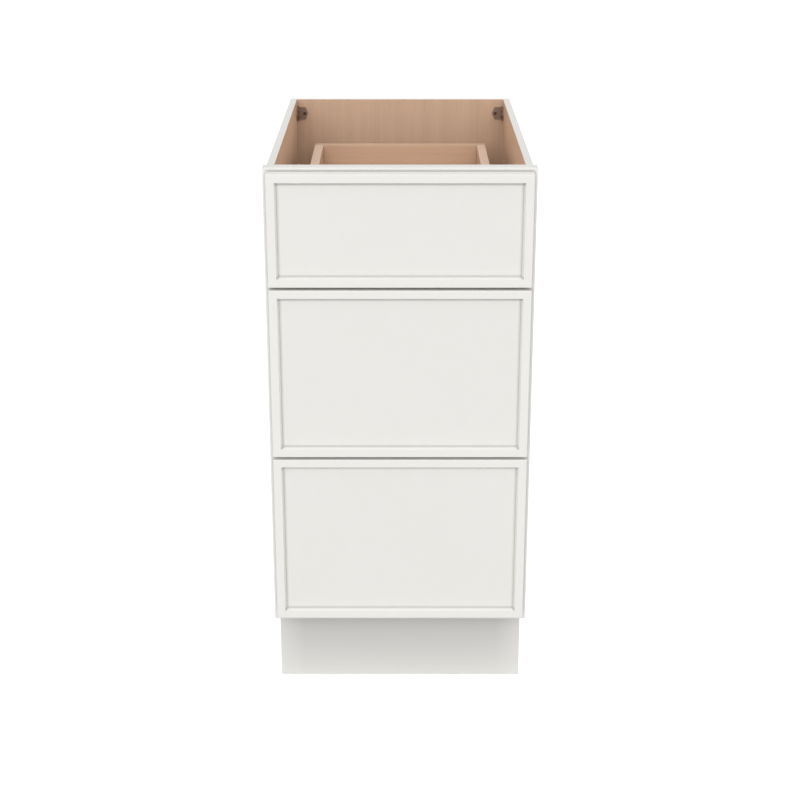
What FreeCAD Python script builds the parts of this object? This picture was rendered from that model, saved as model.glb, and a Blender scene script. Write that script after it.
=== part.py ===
import FreeCAD, Part
import os
import Sketcher
from types import SimpleNamespace

os.makedirs("parts", exist_ok=True)

# Driving dimensions in millimetres. X is across, Y runs from the drawer faces to the wall, Z is up.
sizes = {
    # Overall
    "cabinet_width": 381.0,
    "cabinet_height": 819.0,
    "cabinet_depth": 533.0,
    # Carcass panels
    "side_thickness": 11.0,
    "back_thickness": 11.0,
    "floor_thickness": 11.0,
    "floor_lift": 8.0,
    "dado_depth": 5.0,
    # Toe space under the face frame
    "kick_height": 119.0,
    "kick_setback": 36.0,
    "kick_thickness": 12.0,
    # Face frame
    "frame_thickness": 19.0,
    "frame_overhang": 5.0,
    "stile_width": 44.0,
    "top_rail_width": 38.0,
    "middle_rail_width": 38.0,
    "bottom_rail_width": 38.0,
    # Drawer fronts
    "front_thickness": 19.0,
    "front_gap": 2.0,
    "front_side_reveal": 5.5,
    "front_top_reveal": 5.0,
    "front_bottom_reveal": 12.5,
    "front_spacing": 4.0,
    "upper_front_height": 162.0,
    "middle_front_height": 253.5,
    "front_rail_width": 15.0,
    "front_bevel": 3.0,
    "front_edge_ease": 1.0,
    "panel_recess": 6.0,
    "tongue_thickness": 6.0,
    "tongue_depth": 5.0,
    # Drawer boxes
    "box_side_clearance": 6.0,
    "box_rear_clearance": 72.0,
    "box_side_thickness": 14.0,
    "box_end_thickness": 14.0,
    "box_head_room": 22.0,
    "box_foot_room": 10.0,
    "bottom_thickness": 6.0,
    "bottom_recess": 13.0,
    "bottom_groove": 6.0,
    "tail_root_width": 17.0,
    "tail_tip_width": 23.0,
    "tail_spacing": 36.0,
    # Undermount slides
    "rail_width": 24.0,
    "rail_height": 10.5,
    "rail_wall": 1.5,
    "rail_clearance": 0.4,
    "rail_stack_gap": 1.0,
    "rail_inset": 6.0,
    "rail_end_gap": 1.0,
    "rail_overrun": 8.0,
    "middle_rail_shortfall": 36.0,
    "notch_clearance": 2.0,
    "tab_length": 27.0,
    "tab_setback": 2.0,
    "bracket_wall": 2.0,
    "bracket_base": 3.0,
    "bracket_grip": 30.0,
    "bracket_cheek": 6.0,
    "bracket_flange_height": 27.0,
    "bracket_screw_height": 17.0,
    "bracket_screw_spread": 14.0,
    # Corner braces at the top of the back
    "brace_drop": 13.0,
    "brace_height": 20.5,
    "brace_reach": 18.5,
    "brace_shoulder": 14.5,
    "brace_thickness": 2.0,
    "brace_spine": 4.0,
    "brace_spine_overhang": 1.5,
    "brace_screw_inset": 5.5,
    "brace_screw_spread": 9.0,
    # Fasteners and bumpers
    "screw_head_radius": 2.4,
    "screw_head_height": 1.2,
    "screw_radius": 1.3,
    "screw_length": 8.0,
    "front_screw_length": 22.0,
    "front_screw_spread": 160.0,
    "front_screw_foot": 36.0,
    "front_screw_head_room": 20.0,
    "bumper_radius": 4.0,
    "bumper_thickness": 1.8,
    "bumper_inset": 17.0,
}

doc = FreeCAD.newDocument("drawer_base")
sheet = doc.addObject("Spreadsheet::Sheet", "Sizes")
for row, (alias, number) in enumerate(sizes.items(), start=1):
    sheet.set(f"A{row}", alias)
    sheet.set(f"B{row}", str(number))
    sheet.setAlias(f"B{row}", alias)
doc.recompute()


class Measure:
    """A length worked out from the sheet: the formula that binds it, and its present value."""

    def __init__(self, formula, value):
        self.formula = formula
        self.value = value

    def __add__(self, other):
        other = measure(other)
        return Measure(f"({self.formula} + {other.formula})", self.value + other.value)

    def __sub__(self, other):
        other = measure(other)
        return Measure(f"({self.formula} - {other.formula})", self.value - other.value)

    def __mul__(self, factor):
        return Measure(f"({self.formula} * {factor})", self.value * factor)

    def __truediv__(self, divisor):
        return Measure(f"({self.formula} / {divisor})", self.value / divisor)

    def __neg__(self):
        return Measure(f"(0 - {self.formula})", -self.value)


def measure(thing):
    return thing if isinstance(thing, Measure) else Measure(str(thing), thing)


size = SimpleNamespace(**{alias: Measure(f"Sizes.{alias}", number) for alias, number in sizes.items()})

# Planes that the pieces share, measured from the middle of the footprint on the floor
cabinet_half = size.cabinet_width / 2
carcass_half = cabinet_half - size.frame_overhang
inner_half = carcass_half - size.side_thickness
opening_half = cabinet_half - size.stile_width
front_half = cabinet_half - size.front_side_reveal
overall_depth = size.cabinet_depth + size.front_thickness + size.front_gap
face_y = -(overall_depth / 2)
front_rear_y = face_y + size.front_thickness
frame_y = front_rear_y + size.front_gap
carcass_y = frame_y + size.frame_thickness
rear_y = overall_depth / 2
back_y = rear_y - size.back_thickness
kick_y = frame_y + size.kick_setback
kick_rear_y = kick_y + size.kick_thickness
floor_z = size.kick_height + size.floor_lift
top_z = size.cabinet_height

box_half = opening_half - size.box_side_clearance
box_inner_half = box_half - size.box_side_thickness
box_rear_y = back_y - size.box_rear_clearance
box_inner_y = front_rear_y + size.box_end_thickness
box_inner_rear_y = box_rear_y - size.box_end_thickness
rail_outer = box_inner_half - size.rail_inset
rail_inner = rail_outer - size.rail_width
rail_front_y = box_inner_y + size.rail_end_gap
rail_rear_y = box_rear_y + size.rail_overrun


def drawer_levels():
    """Heights of each drawer's front, of its opening in the face frame and of its box."""
    upper_high = top_z - size.front_top_reveal
    upper_low = upper_high - size.upper_front_height
    middle_high = upper_low - size.front_spacing
    middle_low = middle_high - size.middle_front_height
    lower_high = middle_low - size.front_spacing
    lower_low = size.kick_height + size.front_bottom_reveal
    upper_rail_z = (upper_low + middle_high) / 2
    lower_rail_z = (middle_low + lower_high) / 2
    half_rail = size.middle_rail_width / 2
    openings = {
        "upper": (upper_rail_z + half_rail, top_z - size.top_rail_width),
        "middle": (lower_rail_z + half_rail, upper_rail_z - half_rail),
        "lower": (size.kick_height + size.bottom_rail_width, lower_rail_z - half_rail),
    }
    fronts = {
        "upper": (upper_low, upper_high),
        "middle": (middle_low, middle_high),
        "lower": (lower_low, lower_high),
    }
    levels = {}
    for drawer, (open_low, open_high) in openings.items():
        box_low = open_low + size.box_foot_room
        bottom_z = box_low + size.bottom_recess
        levels[drawer] = SimpleNamespace(
            open_low=open_low,
            open_high=open_high,
            front_low=fronts[drawer][0],
            front_high=fronts[drawer][1],
            box_low=box_low,
            box_high=open_high - size.box_head_room,
            bottom_z=bottom_z,
            bottom_top=bottom_z + size.bottom_thickness,
            drawer_rail_z=bottom_z - size.rail_height,
            cabinet_rail_z=bottom_z - size.rail_height * 2 - size.rail_stack_gap,
        )
    return levels


levels = drawer_levels()
nodes = []


def node(piece, label):
    piece.Label = label
    nodes.append(piece)
    return piece


def bind(piece, path, length):
    piece.setExpression(path, measure(length).formula)


def place(piece, x, y, z):
    for axis, length in (("x", x), ("y", y), ("z", z)):
        bind(piece, f"Placement.Base.{axis}", length)
    return piece


def block(name, x_span, y_span, z_span):
    """A board, from the low and high plane on each axis."""
    piece = doc.addObject("Part::Box", name)
    spans = (x_span, y_span, z_span)
    for side, (low, high) in zip(("Length", "Width", "Height"), spans):
        bind(piece, side, measure(high) - low)
    return place(piece, *(low for low, high in spans))


def fused(name, pieces):
    piece = doc.addObject("Part::MultiFuse", name)
    piece.Shapes = pieces
    piece.Refine = True
    return piece


def cut(name, base, tool):
    piece = doc.addObject("Part::Cut", name)
    piece.Base = base
    piece.Tool = tool
    return piece


def cut_by_all(name, base, tools):
    for number, tool in enumerate(tools, start=1):
        base = cut(f"{name}_step{number}", base, tool)
    return base


def group(name, pieces):
    piece = doc.addObject("Part::Compound", name)
    piece.Links = pieces
    return piece


def mirrored(name, source):
    """The twin of a piece on the other side of the cabinet's middle plane."""
    twin = doc.addObject("Part::Mirroring", name)
    twin.Source = source
    twin.Normal = FreeCAD.Vector(1, 0, 0)
    return twin


def both_sides(name, left):
    return group(name, [left, mirrored(f"{name}_right", left)])


def profile_body(name, plane, outline, length):
    """A closed outline of straight lines, in positive coordinates on an origin plane, padded by a length."""
    body = doc.addObject("PartDesign::Body", name)
    sketch = body.newObject("Sketcher::SketchObject", f"{name}_outline")
    support = [feature for feature in body.Origin.OriginFeatures if feature.Role == plane][0]
    sketch.AttachmentSupport = (support, "")
    sketch.MapMode = "FlatFace"
    corners = [(measure(u), measure(v)) for u, v in outline]
    points = [FreeCAD.Vector(u.value, v.value, 0) for u, v in corners]
    count = len(points)
    for index, start in enumerate(points):
        sketch.addGeometry(Part.LineSegment(start, points[(index + 1) % count]), False)
    horizontal_axis, vertical_axis, start_point, end_point = -1, -2, 1, 2
    for index, (u, v) in enumerate(corners):
        before = (index - 1) % count
        sketch.addConstraint(Sketcher.Constraint("Coincident", before, end_point, index, start_point))
        distances = (("DistanceX", u, vertical_axis), ("DistanceY", v, horizontal_axis))
        for kind, length_to_axis, axis in distances:
            if length_to_axis.formula == "0":
                sketch.addConstraint(Sketcher.Constraint("PointOnObject", index, start_point, axis))
                continue
            number = sketch.addConstraint(
                Sketcher.Constraint(kind, -1, 1, index, start_point, length_to_axis.value)
            )
            sketch.setExpression(f"Constraints[{number}]", length_to_axis.formula)
    pad = body.newObject("PartDesign::Pad", f"{name}_pad")
    pad.Profile = sketch
    pad.Reversed = plane == "XZ_Plane"
    bind(pad, "Length", length)
    return body


def rod(name, radius, length, position, direction):
    piece = doc.addObject("Part::Cylinder", name)
    bind(piece, "Radius", radius)
    bind(piece, "Height", length)
    piece.Placement.Rotation = FreeCAD.Rotation(FreeCAD.Vector(0, 0, 1), FreeCAD.Vector(*direction))
    return place(piece, *position)


def screw(name, seat, drive, length):
    """A pan-head screw whose head sits at the seat and whose shank runs along the drive direction."""
    head_way = [-component for component in drive]
    head = rod(f"{name}_head", size.screw_head_radius, size.screw_head_height, seat, head_way)
    shank = rod(f"{name}_shank", size.screw_radius, length, seat, drive)
    return fused(name, [head, shank])


def corner_brace_leaf_outline():
    middle = size.brace_height / 2
    return [
        (0, 0),
        (size.brace_shoulder, 0),
        (size.brace_reach, middle),
        (size.brace_shoulder, size.brace_height),
        (0, size.brace_height),
    ]


def make_corner_braces():
    """Plastic angle pieces with pointed leaves that hold the back to the sides, and their screws."""
    low = top_z - size.brace_drop - size.brace_height
    high = low + size.brace_height
    middle = low + size.brace_height / 2
    back_leaf = profile_body("brace_back_leaf", "XZ_Plane", corner_brace_leaf_outline(), size.brace_thickness)
    place(back_leaf, -inner_half, back_y - size.brace_thickness, low)
    point = size.brace_reach - size.brace_shoulder
    side_outline = [
        (0, size.brace_height / 2),
        (point, 0),
        (size.brace_reach, 0),
        (size.brace_reach, size.brace_height),
        (point, size.brace_height),
    ]
    side_leaf = profile_body("brace_side_leaf", "YZ_Plane", side_outline, size.brace_thickness)
    place(side_leaf, -inner_half, back_y - size.brace_reach, low)
    spine = block(
        "brace_spine",
        (-inner_half, -inner_half + size.brace_spine),
        (back_y - size.brace_spine, back_y),
        (low - size.brace_spine_overhang, high + size.brace_spine_overhang),
    )
    plain = fused("brace_plain", [back_leaf, side_leaf, spine])
    seat_y = back_y - size.brace_thickness
    seat_x = -inner_half + size.brace_thickness
    screw_x = -inner_half + size.brace_reach - size.brace_screw_inset
    screw_y = back_y - size.brace_reach + size.brace_screw_inset
    spread = size.brace_screw_spread / 2
    screws = [screw("brace_back_screw", (screw_x, seat_y, middle), (0, 1, 0), size.screw_length)]
    for name, screw_z in (("low", middle - spread), ("high", middle + spread)):
        seat = (seat_x, screw_y + size.brace_thickness, screw_z)
        screws.append(screw(f"brace_side_screw_{name}", seat, (-1, 0, 0), size.screw_length))
    left_screws = group("brace_left_screws", screws)
    right_screws = mirrored("brace_right_screws", left_screws)
    left = node(cut("corner_brace_left", plain, left_screws), "corner_brace_left")
    node(mirrored("corner_brace_right", left), "corner_brace_right")
    node(group("corner_brace_screws", [left_screws, right_screws]), "corner_brace_screws")
    return left_screws, right_screws


def make_slide_brackets():
    """Rear sockets that carry the cabinet rails from the back panel, and every screw of the cabinet rails."""
    left_brackets = []
    rear_screws = []
    front_screws = []
    low_x = -rail_outer - size.bracket_wall
    high_x = -rail_inner + size.bracket_wall
    start_y = rail_rear_y - size.bracket_grip
    for drawer, level in levels.items():
        name = f"{drawer}_bracket"
        rail_z = level.cabinet_rail_z
        low_z = rail_z - size.bracket_base
        cheek_z = rail_z + size.bracket_cheek
        base = block(f"{name}_base", (low_x, high_x), (start_y, back_y), (low_z, rail_z))
        outer = block(f"{name}_outer", (low_x, -rail_outer), (start_y, back_y), (low_z, cheek_z))
        inner = block(f"{name}_inner", (-rail_inner, high_x), (start_y, back_y), (low_z, cheek_z))
        flange_span = (low_z, low_z + size.bracket_flange_height)
        flange = block(f"{name}_flange", (low_x, high_x), (back_y - size.bracket_base, back_y), flange_span)
        plain = fused(f"{name}_plain", [base, outer, inner, flange])
        seat_y = back_y - size.bracket_base
        middle_x = -((rail_outer + rail_inner) / 2)
        pair = []
        for side, way in (("outer", -1), ("inner", 1)):
            seat_x = middle_x + size.bracket_screw_spread * (way / 2)
            seat = (seat_x, seat_y, rail_z + size.bracket_screw_height)
            pair.append(screw(f"{name}_{side}_screw", seat, (0, 1, 0), size.screw_length))
        pair_group = group(f"{name}_screws", pair)
        left_brackets.append(cut(f"{name}_left", plain, pair_group))
        rear_screws.append(pair_group)
        front_seat = (
            -opening_half + size.rail_wall,
            frame_y + size.frame_thickness / 2,
            rail_z + size.rail_height / 2,
        )
        front_screws.append(screw(f"{drawer}_tab_screw", front_seat, (-1, 0, 0), size.screw_length))
    brackets = both_sides("slide_rear_brackets", group("left_rear_brackets", left_brackets))
    node(brackets, "slide_rear_brackets")
    rear = both_sides("slide_rear_screws", group("left_rear_screws", rear_screws))
    left_front = group("left_front_screws", front_screws)
    front = both_sides("slide_front_screws", left_front)
    node(group("slide_screws", [rear, front]), "slide_screws")
    return rear, left_front


def make_carcass(brace_screws, rear_screws):
    """Plywood sides, back and floor, and the board across the toe space."""
    floor_span = (floor_z, floor_z + size.floor_thickness)
    floor_half = inner_half + size.dado_depth
    floor_board = block("cabinet_floor", (-floor_half, floor_half), (carcass_y, back_y), floor_span)
    node(floor_board, "cabinet_floor")

    side_length = rear_y - carcass_y
    notch = kick_rear_y - carcass_y
    outline = [
        (notch, 0),
        (side_length, 0),
        (side_length, top_z),
        (0, top_z),
        (0, size.kick_height),
        (notch, size.kick_height),
    ]
    side = profile_body("side_blank", "YZ_Plane", outline, size.side_thickness)
    place(side, -carcass_half, carcass_y, 0)
    left = node(cut_by_all("left_side", side, [floor_board, brace_screws[0]]), "left_side_panel")
    node(mirrored("right_side", left), "right_side_panel")

    back = block("back_blank", (-inner_half, inner_half), (back_y, rear_y), (floor_z, top_z))
    node(cut_by_all("back", back, [*brace_screws, rear_screws]), "back_panel")

    kick = block("toe_kick", (-carcass_half, carcass_half), (kick_y, kick_rear_y), (0, size.kick_height))
    node(kick, "toe_kick_board")


def make_face_frame(tab_screws):
    """Hardwood stiles and rails fixed to the front edges of the carcass."""
    span_y = (frame_y, carcass_y)
    stile = block("stile_blank", (-cabinet_half, -opening_half), span_y, (size.kick_height, top_z))
    left = node(cut("left_stile", stile, tab_screws), "frame_left_stile")
    node(mirrored("right_stile", left), "frame_right_stile")
    rails = {
        "frame_top_rail": (levels["upper"].open_high, top_z),
        "frame_upper_middle_rail": (levels["middle"].open_high, levels["upper"].open_low),
        "frame_lower_middle_rail": (levels["lower"].open_high, levels["middle"].open_low),
        "frame_bottom_rail": (size.kick_height, levels["lower"].open_low),
    }
    for name, span_z in rails.items():
        node(block(name, (-opening_half, opening_half), span_y, span_z), name)


def make_bumpers():
    """Soft discs on the stiles that the drawer fronts close against."""
    left = []
    x = -front_half + size.bumper_inset
    for drawer, level in levels.items():
        for end, z in (
            ("low", level.front_low + size.bumper_inset),
            ("high", level.front_high - size.bumper_inset),
        ):
            name = f"{drawer}_{end}_bumper"
            left.append(rod(name, size.bumper_radius, size.bumper_thickness, (x, frame_y, z), (0, -1, 0)))
    node(both_sides("front_bumpers", group("left_bumpers", left)), "front_bumpers")


def front_member_section():
    """Half section of a drawer front's frame: depth from the face, and distance from the outer edge."""
    width = size.front_rail_width
    groove_rear = size.panel_recess + size.tongue_thickness
    groove_foot = width - size.tongue_depth
    ease = size.front_edge_ease
    return [
        (ease, 0),
        (size.front_thickness, 0),
        (size.front_thickness, width),
        (groove_rear, width),
        (groove_rear, groove_foot),
        (size.panel_recess, groove_foot),
        (size.panel_recess, width),
        (0, width - size.front_bevel),
        (0, ease),
    ]


def common(name, base, tool):
    piece = doc.addObject("Part::Common", name)
    piece.Base = base
    piece.Tool = tool
    return piece


def make_front(drawer, level, screws):
    """A slim mitred frame round a recessed panel whose tongue sits in the frame's groove."""
    width = size.front_rail_width
    front_width = front_half * 2
    front_height = level.front_high - level.front_low
    section = front_member_section()

    bar = profile_body(f"{drawer}_rail_bar", "YZ_Plane", section, front_width)
    place(bar, -front_half, face_y, level.front_low)
    rail_mitre = [(0, 0), (front_width, 0), (front_width - width, width), (width, width)]
    rail_shape = profile_body(f"{drawer}_rail_mitre", "XZ_Plane", rail_mitre, size.front_thickness)
    place(rail_shape, -front_half, face_y, level.front_low)
    bottom_rail = node(common(f"{drawer}_low_rail", bar, rail_shape), f"{drawer}_front_bottom_rail")
    top_rail = doc.addObject("Part::Mirroring", f"{drawer}_high_rail")
    top_rail.Source = bottom_rail
    top_rail.Normal = FreeCAD.Vector(0, 0, 1)
    bind(top_rail, "Base.z", (level.front_low + level.front_high) / 2)
    node(top_rail, f"{drawer}_front_top_rail")

    across = [(edge, depth) for depth, edge in section]
    post = profile_body(f"{drawer}_stile_bar", "XY_Plane", across, front_height)
    place(post, -front_half, face_y, level.front_low)
    stile_mitre = [(0, 0), (width, width), (width, front_height - width), (0, front_height)]
    stile_shape = profile_body(f"{drawer}_stile_mitre", "XZ_Plane", stile_mitre, size.front_thickness)
    place(stile_shape, -front_half, face_y, level.front_low)
    left_stile = node(common(f"{drawer}_near_stile", post, stile_shape), f"{drawer}_front_left_stile")
    node(mirrored(f"{drawer}_far_stile", left_stile), f"{drawer}_front_right_stile")

    panel_y = face_y + size.panel_recess
    half = front_half - width
    low = level.front_low + width
    high = level.front_high - width
    tongue = size.tongue_depth
    field = block(f"{drawer}_panel_field", (-half, half), (panel_y, front_rear_y), (low, high))
    edge = block(
        f"{drawer}_panel_tongue",
        (-half - tongue, half + tongue),
        (panel_y, panel_y + size.tongue_thickness),
        (low - tongue, high + tongue),
    )
    panel = fused(f"{drawer}_panel_blank", [field, edge])
    node(cut(f"{drawer}_panel", panel, screws), f"{drawer}_front_panel")


def dovetail(name, end, z):
    """One tail on the left side board, narrow at its root and wide at the outside of the end board."""
    tail = doc.addObject("Part::Wedge", name)
    half_root = size.tail_root_width / 2
    half_tip = size.tail_tip_width / 2
    near, far = (half_tip, half_root) if end == "front" else (half_root, half_tip)
    limits = {
        "Xmin": 0,
        "Xmax": size.box_side_thickness,
        "X2min": 0,
        "X2max": size.box_side_thickness,
        "Ymin": 0,
        "Ymax": size.box_end_thickness,
        "Zmin": -near,
        "Zmax": near,
        "Z2min": -far,
        "Z2max": far,
    }
    for limit, length in limits.items():
        bind(tail, limit, length)
    y = front_rear_y if end == "front" else box_inner_rear_y
    return place(tail, -box_half, y, z)


def make_box(drawer, level, screws):
    """Dovetailed drawer box with its bottom let into grooves, and a back notched over the slides."""
    span_z = (level.box_low, level.box_high)
    groove = size.bottom_groove
    bottom_half = box_inner_half + groove
    bottom = block(
        f"{drawer}_bottom",
        (-bottom_half, bottom_half),
        (box_inner_y - groove, box_inner_rear_y + groove),
        (level.bottom_z, level.bottom_top),
    )
    node(bottom, f"{drawer}_box_bottom")

    side_height = level.box_high - level.box_low
    count = max(1, int(side_height.value / size.tail_spacing.value))
    pitch = side_height / count
    tails = {}
    for end in ("front", "rear"):
        tails[end] = [
            dovetail(f"{drawer}_{end}_tail{number + 1}", end, level.box_low + pitch * (number + 0.5))
            for number in range(count)
        ]
    span_x = (-box_half, -box_inner_half)
    plate = block(f"{drawer}_side_plate", span_x, (box_inner_y, box_inner_rear_y), span_z)
    blank = fused(f"{drawer}_side_blank", [plate, *tails["front"], *tails["rear"]])
    left = node(cut(f"{drawer}_left_side", blank, bottom), f"{drawer}_box_left_side")
    node(mirrored(f"{drawer}_right_side", left), f"{drawer}_box_right_side")

    notch_x = (-rail_outer - size.notch_clearance, -rail_inner + size.notch_clearance)
    notch_z = (level.box_low, level.bottom_z)
    notch = block(f"{drawer}_notch", notch_x, (box_inner_rear_y, box_rear_y), notch_z)
    notches = both_sides(f"{drawer}_notches", notch)
    ends = {
        "front": ((front_rear_y, box_inner_y), [screws]),
        "rear": ((box_inner_rear_y, box_rear_y), [notches]),
    }
    names = {"front": f"{drawer}_box_front", "rear": f"{drawer}_box_back"}
    for end, (span_y, extra) in ends.items():
        board = block(f"{drawer}_{end}_board", (-box_half, box_half), span_y, span_z)
        sockets = both_sides(f"{drawer}_{end}_sockets", group(f"{drawer}_{end}_tails", tails[end]))
        node(cut_by_all(f"{drawer}_{end}_end", board, [sockets, bottom, *extra]), names[end])


def make_front_screws(drawer, level):
    """Screws driven from inside the box into the drawer front."""
    left = []
    heights = {
        "low": level.box_low + size.front_screw_foot,
        "high": level.box_high - size.front_screw_head_room,
    }
    for name, z in heights.items():
        seat = (-(size.front_screw_spread / 2), box_inner_y, z)
        left.append(screw(f"{drawer}_{name}_front_screw", seat, (0, -1, 0), size.front_screw_length))
    screws = both_sides(f"{drawer}_front_screws", group(f"{drawer}_left_front_screws", left))
    return node(screws, f"{drawer}_front_screws")


def channel_outline(open_up):
    """Section of a rolled steel channel, open at its top or at its foot."""
    width, height, wall = size.rail_width, size.rail_height, size.rail_wall
    if open_up:
        return [
            (0, 0),
            (width, 0),
            (width, height),
            (width - wall, height),
            (width - wall, wall),
            (wall, wall),
            (wall, height),
            (0, height),
        ]
    return [
        (0, 0),
        (wall, 0),
        (wall, height - wall),
        (width - wall, height - wall),
        (width - wall, 0),
        (width, 0),
        (width, height),
        (0, height),
    ]


def middle_rail_size():
    spare = (size.rail_wall + size.rail_clearance) * 2
    width = size.rail_width - spare
    height = size.rail_height * 2 + size.rail_stack_gap - spare
    return width, height


def middle_rail_outline():
    """Section of the running member: two upright walls joined by a web at mid height."""
    width, height = middle_rail_size()
    wall = size.rail_wall
    web_low = (height - wall) / 2
    web_high = web_low + wall
    return [
        (0, 0),
        (wall, 0),
        (wall, web_low),
        (width - wall, web_low),
        (width - wall, 0),
        (width, 0),
        (width, height),
        (width - wall, height),
        (width - wall, web_high),
        (wall, web_high),
        (wall, height),
        (0, height),
    ]


def make_slides(drawer, level, tab_screws):
    """Undermount slides: a channel on the cabinet, a channel under the drawer and a member between them."""
    rail_z = level.cabinet_rail_z
    fixed_length = rail_rear_y - rail_front_y
    fixed = profile_body(f"{drawer}_fixed_rail", "XZ_Plane", channel_outline(True), fixed_length)
    place(fixed, -rail_outer, rail_front_y, rail_z)
    tab_y = (frame_y + size.tab_setback, frame_y + size.tab_setback + size.tab_length)
    wall = size.rail_wall
    web = block(f"{drawer}_tab_web", (-opening_half, -rail_outer + wall), tab_y, (rail_z, rail_z + wall))
    tab_plate_y = (tab_y[0], carcass_y)
    plate_z = (rail_z, rail_z + size.rail_height)
    plate = block(f"{drawer}_tab_plate", (-opening_half, -opening_half + wall), tab_plate_y, plate_z)
    whole = fused(f"{drawer}_fixed_whole", [fixed, web, plate])
    left = cut(f"{drawer}_fixed_left", whole, tab_screws)
    node(both_sides(f"{drawer}_fixed_pair", left), f"{drawer}_slide_cabinet_rails")

    carried_length = box_rear_y - rail_front_y
    spare = size.rail_wall + size.rail_clearance
    running_length = carried_length - size.rail_end_gap - size.middle_rail_shortfall
    runner = profile_body(f"{drawer}_running", "XZ_Plane", middle_rail_outline(), running_length)
    place(runner, -rail_outer + spare, rail_front_y + size.rail_end_gap, rail_z + spare)
    node(both_sides(f"{drawer}_running_pair", runner), f"{drawer}_slide_middle_rails")

    carried = profile_body(f"{drawer}_drawer_rail", "XZ_Plane", channel_outline(False), carried_length)
    place(carried, -rail_outer, rail_front_y, level.drawer_rail_z)
    node(both_sides(f"{drawer}_drawer_rail_pair", carried), f"{drawer}_slide_drawer_rails")


def check(pieces):
    failed = [item.Label for item in doc.Objects if {"Invalid", "Error"} & set(item.State)]
    failed += [piece.Label for piece in pieces if piece.Shape.isNull() or not piece.Shape.isValid()]
    if failed:
        raise RuntimeError("failed pieces: " + ", ".join(failed))


brace_screws = make_corner_braces()
rear_screws, tab_screws = make_slide_brackets()
make_carcass(brace_screws, rear_screws)
make_face_frame(tab_screws)
make_bumpers()
for drawer, level in levels.items():
    front_screws = make_front_screws(drawer, level)
    make_front(drawer, level, front_screws)
    make_box(drawer, level, front_screws)
    make_slides(drawer, level, tab_screws)

doc.recompute()
check(nodes)
for piece in nodes:
    piece.Shape.exportStep(f"parts/{piece.Label}.step")
print(len(nodes), "pieces written")
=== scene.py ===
import math

import bmesh
import bpy
from mathutils import Matrix, Vector


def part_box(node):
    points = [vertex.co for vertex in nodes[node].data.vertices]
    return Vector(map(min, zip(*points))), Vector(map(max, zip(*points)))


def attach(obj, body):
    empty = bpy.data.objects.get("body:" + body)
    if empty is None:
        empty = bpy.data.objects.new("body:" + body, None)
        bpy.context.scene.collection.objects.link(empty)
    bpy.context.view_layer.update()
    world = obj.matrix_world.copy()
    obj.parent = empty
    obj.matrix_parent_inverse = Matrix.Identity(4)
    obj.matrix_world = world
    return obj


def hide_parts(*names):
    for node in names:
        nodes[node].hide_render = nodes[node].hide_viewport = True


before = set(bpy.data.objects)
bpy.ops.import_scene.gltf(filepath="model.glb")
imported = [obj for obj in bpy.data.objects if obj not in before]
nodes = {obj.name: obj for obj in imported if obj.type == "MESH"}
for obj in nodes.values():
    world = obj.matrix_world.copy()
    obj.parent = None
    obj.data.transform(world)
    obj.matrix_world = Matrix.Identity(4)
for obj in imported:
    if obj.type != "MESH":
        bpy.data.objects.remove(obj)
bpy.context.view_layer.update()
drawers = ("upper", "middle", "lower")
mm = 0.001
touching = 0.001 * mm   # corners this close are one
near = 0.01 * mm        # close enough to lie on a plane or a line
print("frame loaded with", len(nodes), "nodes")


# Shader helpers: a value that is a socket gets linked, anything else is set on the socket

def setInputs(tree, node, inputs):
    for name, value in inputs.items():
        if isinstance(value, bpy.types.NodeSocket):
            tree.links.new(value, node.inputs[name])
        else:
            node.inputs[name].default_value = value


def addNode(tree, kind, inputs=None, **settings):
    made = tree.nodes.new("ShaderNode" + kind)
    for name, value in settings.items():
        setattr(made, name, value)
    setInputs(tree, made, inputs or {})
    return made


def maths(tree, operation, first, second=0.0, clamp=False):
    return addNode(tree, "Math", {0: first, 1: second}, operation=operation, use_clamp=clamp).outputs[0]


def remap(tree, value, fromLow, fromHigh, toLow=0.0, toHigh=1.0):
    limits = {"Value": value, "From Min": fromLow, "From Max": fromHigh, "To Min": toLow, "To Max": toHigh}
    return addNode(tree, "MapRange", limits, clamp=True).outputs["Result"]


def mixColour(tree, factor, first, second, blend="MIX"):
    picked = {0: factor, 6: first, 7: second}  # the colour sockets of the mix node
    return addNode(tree, "Mix", picked, data_type="RGBA", blend_type=blend).outputs[2]


def mixValue(tree, factor, first, second):
    return addNode(tree, "Mix", {0: factor, 2: first, 3: second}, data_type="FLOAT").outputs[0]


def noise(tree, vector, scale, detail=3.0, roughness=0.55, distortion=0.0):
    values = {"Vector": vector, "Scale": scale, "Detail": detail, "Roughness": roughness}
    values["Distortion"] = distortion
    return addNode(tree, "TexNoise", values).outputs["Fac"]


def layered(tree, *layers):
    # Adds up values, each times its share
    parts = [maths(tree, "MULTIPLY", value, share) for value, share in layers]
    total = parts[0]
    for part in parts[1:]:
        total = maths(tree, "ADD", total, part)
    return total


def stretched(tree, vector, scale):
    return addNode(tree, "Mapping", {"Vector": vector, "Scale": scale}).outputs["Vector"]


def rgba(colour):
    return (*colour, 1.0)


# Node groups for effects that several finishes share

def newGroup(name, inputs, outputs):
    group = bpy.data.node_groups.new(name, "ShaderNodeTree")
    for label, kind, value in inputs:
        socket = group.interface.new_socket(name=label, in_out="INPUT", socket_type="NodeSocket" + kind)
        socket.default_value = value
    for label, kind in outputs:
        group.interface.new_socket(name=label, in_out="OUTPUT", socket_type="NodeSocket" + kind)
    given = group.nodes.new("NodeGroupInput").outputs
    result = group.nodes.new("NodeGroupOutput").inputs
    return group, given, result


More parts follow.
